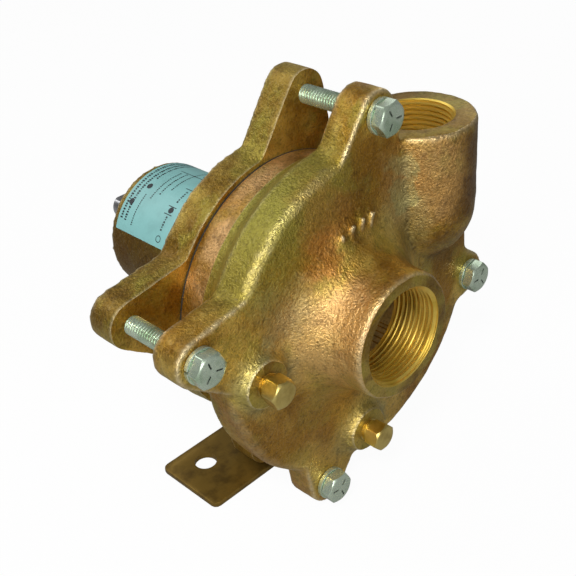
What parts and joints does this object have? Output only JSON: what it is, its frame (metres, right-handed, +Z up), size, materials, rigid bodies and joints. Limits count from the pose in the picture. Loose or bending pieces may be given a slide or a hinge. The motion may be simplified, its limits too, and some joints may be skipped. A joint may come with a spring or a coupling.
{
  "type": "pedestal centrifugal pump",
  "caption": "Foot-mounted bronze centrifugal pump with threaded suction and discharge mouths, bolted casing and a shaft in a bearing barrel.",
  "frame": {"origin": "centre of the suction mouth, on the shaft's axis", "axes": "+Y along the shaft, from the suction mouth to the drive end; +Z up, out of the discharge mouth; +X towards the discharge side"},
  "size_m": [0.1754, 0.18, 0.1792],
  "materials": {
    "cast_bronze": "sand-cast, mottled brown patina",
    "machined_bronze": "machined",
    "plug_brass": "satin",
    "zinc_plate": "plated, satin",
    "steel": "ground",
    "coated_steel": "brown, satin",
    "black_rubber": "matte",
    "gasket_sheet": "matte",
    "ceramic": "polished",
    "carbon": "lapped",
    "label_film": "satin film"
  },
  "bodies": {
    "pump_body": {"volute_casing": "cast_bronze", "casing_gasket": "gasket_sheet", "pedestal_frame": "cast_bronze", "casing_bolts": "zinc_plate", "lock_washers": "zinc_plate", "side_drain_plug": "plug_brass", "lower_drain_plug": "plug_brass", "foot_bracket": "coated_steel", "foot_screws": "zinc_plate", "foot_washers": "zinc_plate", "data_label": "label_film", "seal_seat": "ceramic", "seal_seat_cup": "black_rubber", "front_bearing_outer_ring": "steel", "front_bearing_shields": "steel", "rear_bearing_outer_ring": "steel", "rear_bearing_shields": "steel", "bearing_retaining_ring": "steel"},
    "rotor": {"shaft": "steel", "impeller": "machined_bronze", "impeller_key": "steel", "impeller_washer": "steel", "impeller_nut": "steel", "seal_carbon_ring": "carbon", "seal_retainer": "steel", "seal_bellows": "black_rubber", "seal_spring": "steel", "slinger": "black_rubber", "front_bearing_inner_ring": "steel", "rear_bearing_inner_ring": "steel"},
    "front_balls": {"front_bearing_ball_set": "steel"},
    "rear_balls": {"rear_bearing_ball_set": "steel"}
  },
  "joints": [
    {"name": "rotor_spin", "type": "hinge", "parent": "pump_body", "child": "rotor", "pos_m": [0, 0.1, 0], "axis": [0, 1, 0], "continuous": true},
    {"name": "front_balls_spin", "type": "hinge", "parent": "pump_body", "child": "front_balls", "pos_m": [0, 0.1055, 0], "axis": [0, 1, 0], "continuous": true},
    {"name": "rear_balls_spin", "type": "hinge", "parent": "pump_body", "child": "rear_balls", "pos_m": [0, 0.1385, 0], "axis": [0, 1, 0], "continuous": true}
  ],
  "couplings": [
    {"joint": "front_balls_spin", "follows": "rotor_spin", "ratio": 0.382},
    {"joint": "rear_balls_spin", "follows": "rotor_spin", "ratio": 0.382}
  ]
}
